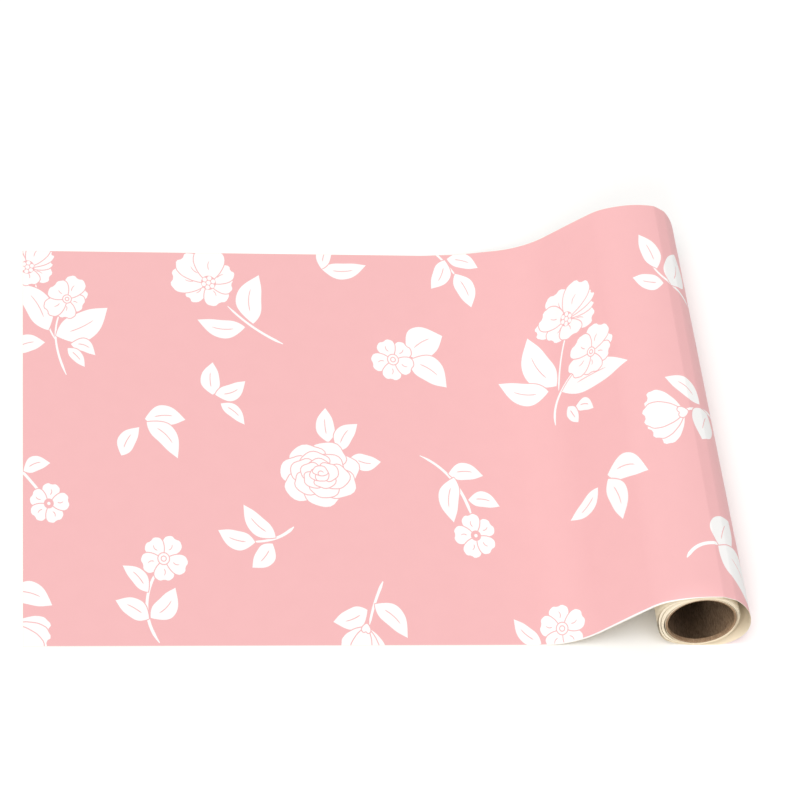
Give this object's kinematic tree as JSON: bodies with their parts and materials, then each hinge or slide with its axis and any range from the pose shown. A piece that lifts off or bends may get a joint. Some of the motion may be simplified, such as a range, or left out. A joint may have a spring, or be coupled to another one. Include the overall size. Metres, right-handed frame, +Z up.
{
  "type": "roll of wrapping paper",
  "caption": "Part-used roll of floral wrapping paper on a cardboard core, its sheet drawn off over the top and lying flat to one side.",
  "frame": {"origin": "centre of the core's bore, half way along the roll", "axes": "+Y along the roll's axis, +Z up from the table, and the free sheet lies towards -X"},
  "size_m": [0.8204, 0.61, 0.089],
  "materials": {
    "printed_paper": "smooth matte print, white flowers on pink, cream on the back",
    "paper_turns": "cut edges of cream paper",
    "core_board": "unbleached spiral-wound core board"
  },
  "bodies": {
    "resting_paper": {"rising_sheet": "printed_paper", "loose_turn": "printed_paper", "slack_turns_outer": "paper_turns", "slack_turns_middle": "paper_turns", "slack_turns_inner": "paper_turns"},
    "drawn_sheet": {"free_sheet": "printed_paper"},
    "tight_roll": {"tight_turns": "paper_turns"},
    "core": {"core_ply_1": "core_board", "core_ply_2": "core_board", "core_ply_3": "core_board", "core_ply_4": "core_board", "core_ply_5": "core_board"}
  },
  "joints": [
    {"name": "sheet_draw", "type": "slide", "parent": "resting_paper", "child": "drawn_sheet", "axis": [-1, 0, 0], "range_m": [0, 0.1]},
    {"name": "roll_turn", "type": "hinge", "parent": "resting_paper", "child": "tight_roll", "pos_m": [0, 0, 0], "axis": [0, -1, 0], "range_deg": [0, 123.5]},
    {"name": "core_slide", "type": "slide", "parent": "tight_roll", "child": "core", "axis": [0, -1, 0], "range_m": [-0.2, 0.2]}
  ],
  "couplings": [
    {"joint": "roll_turn", "follows": "sheet_draw", "rad_per_m": 21.5}
  ]
}
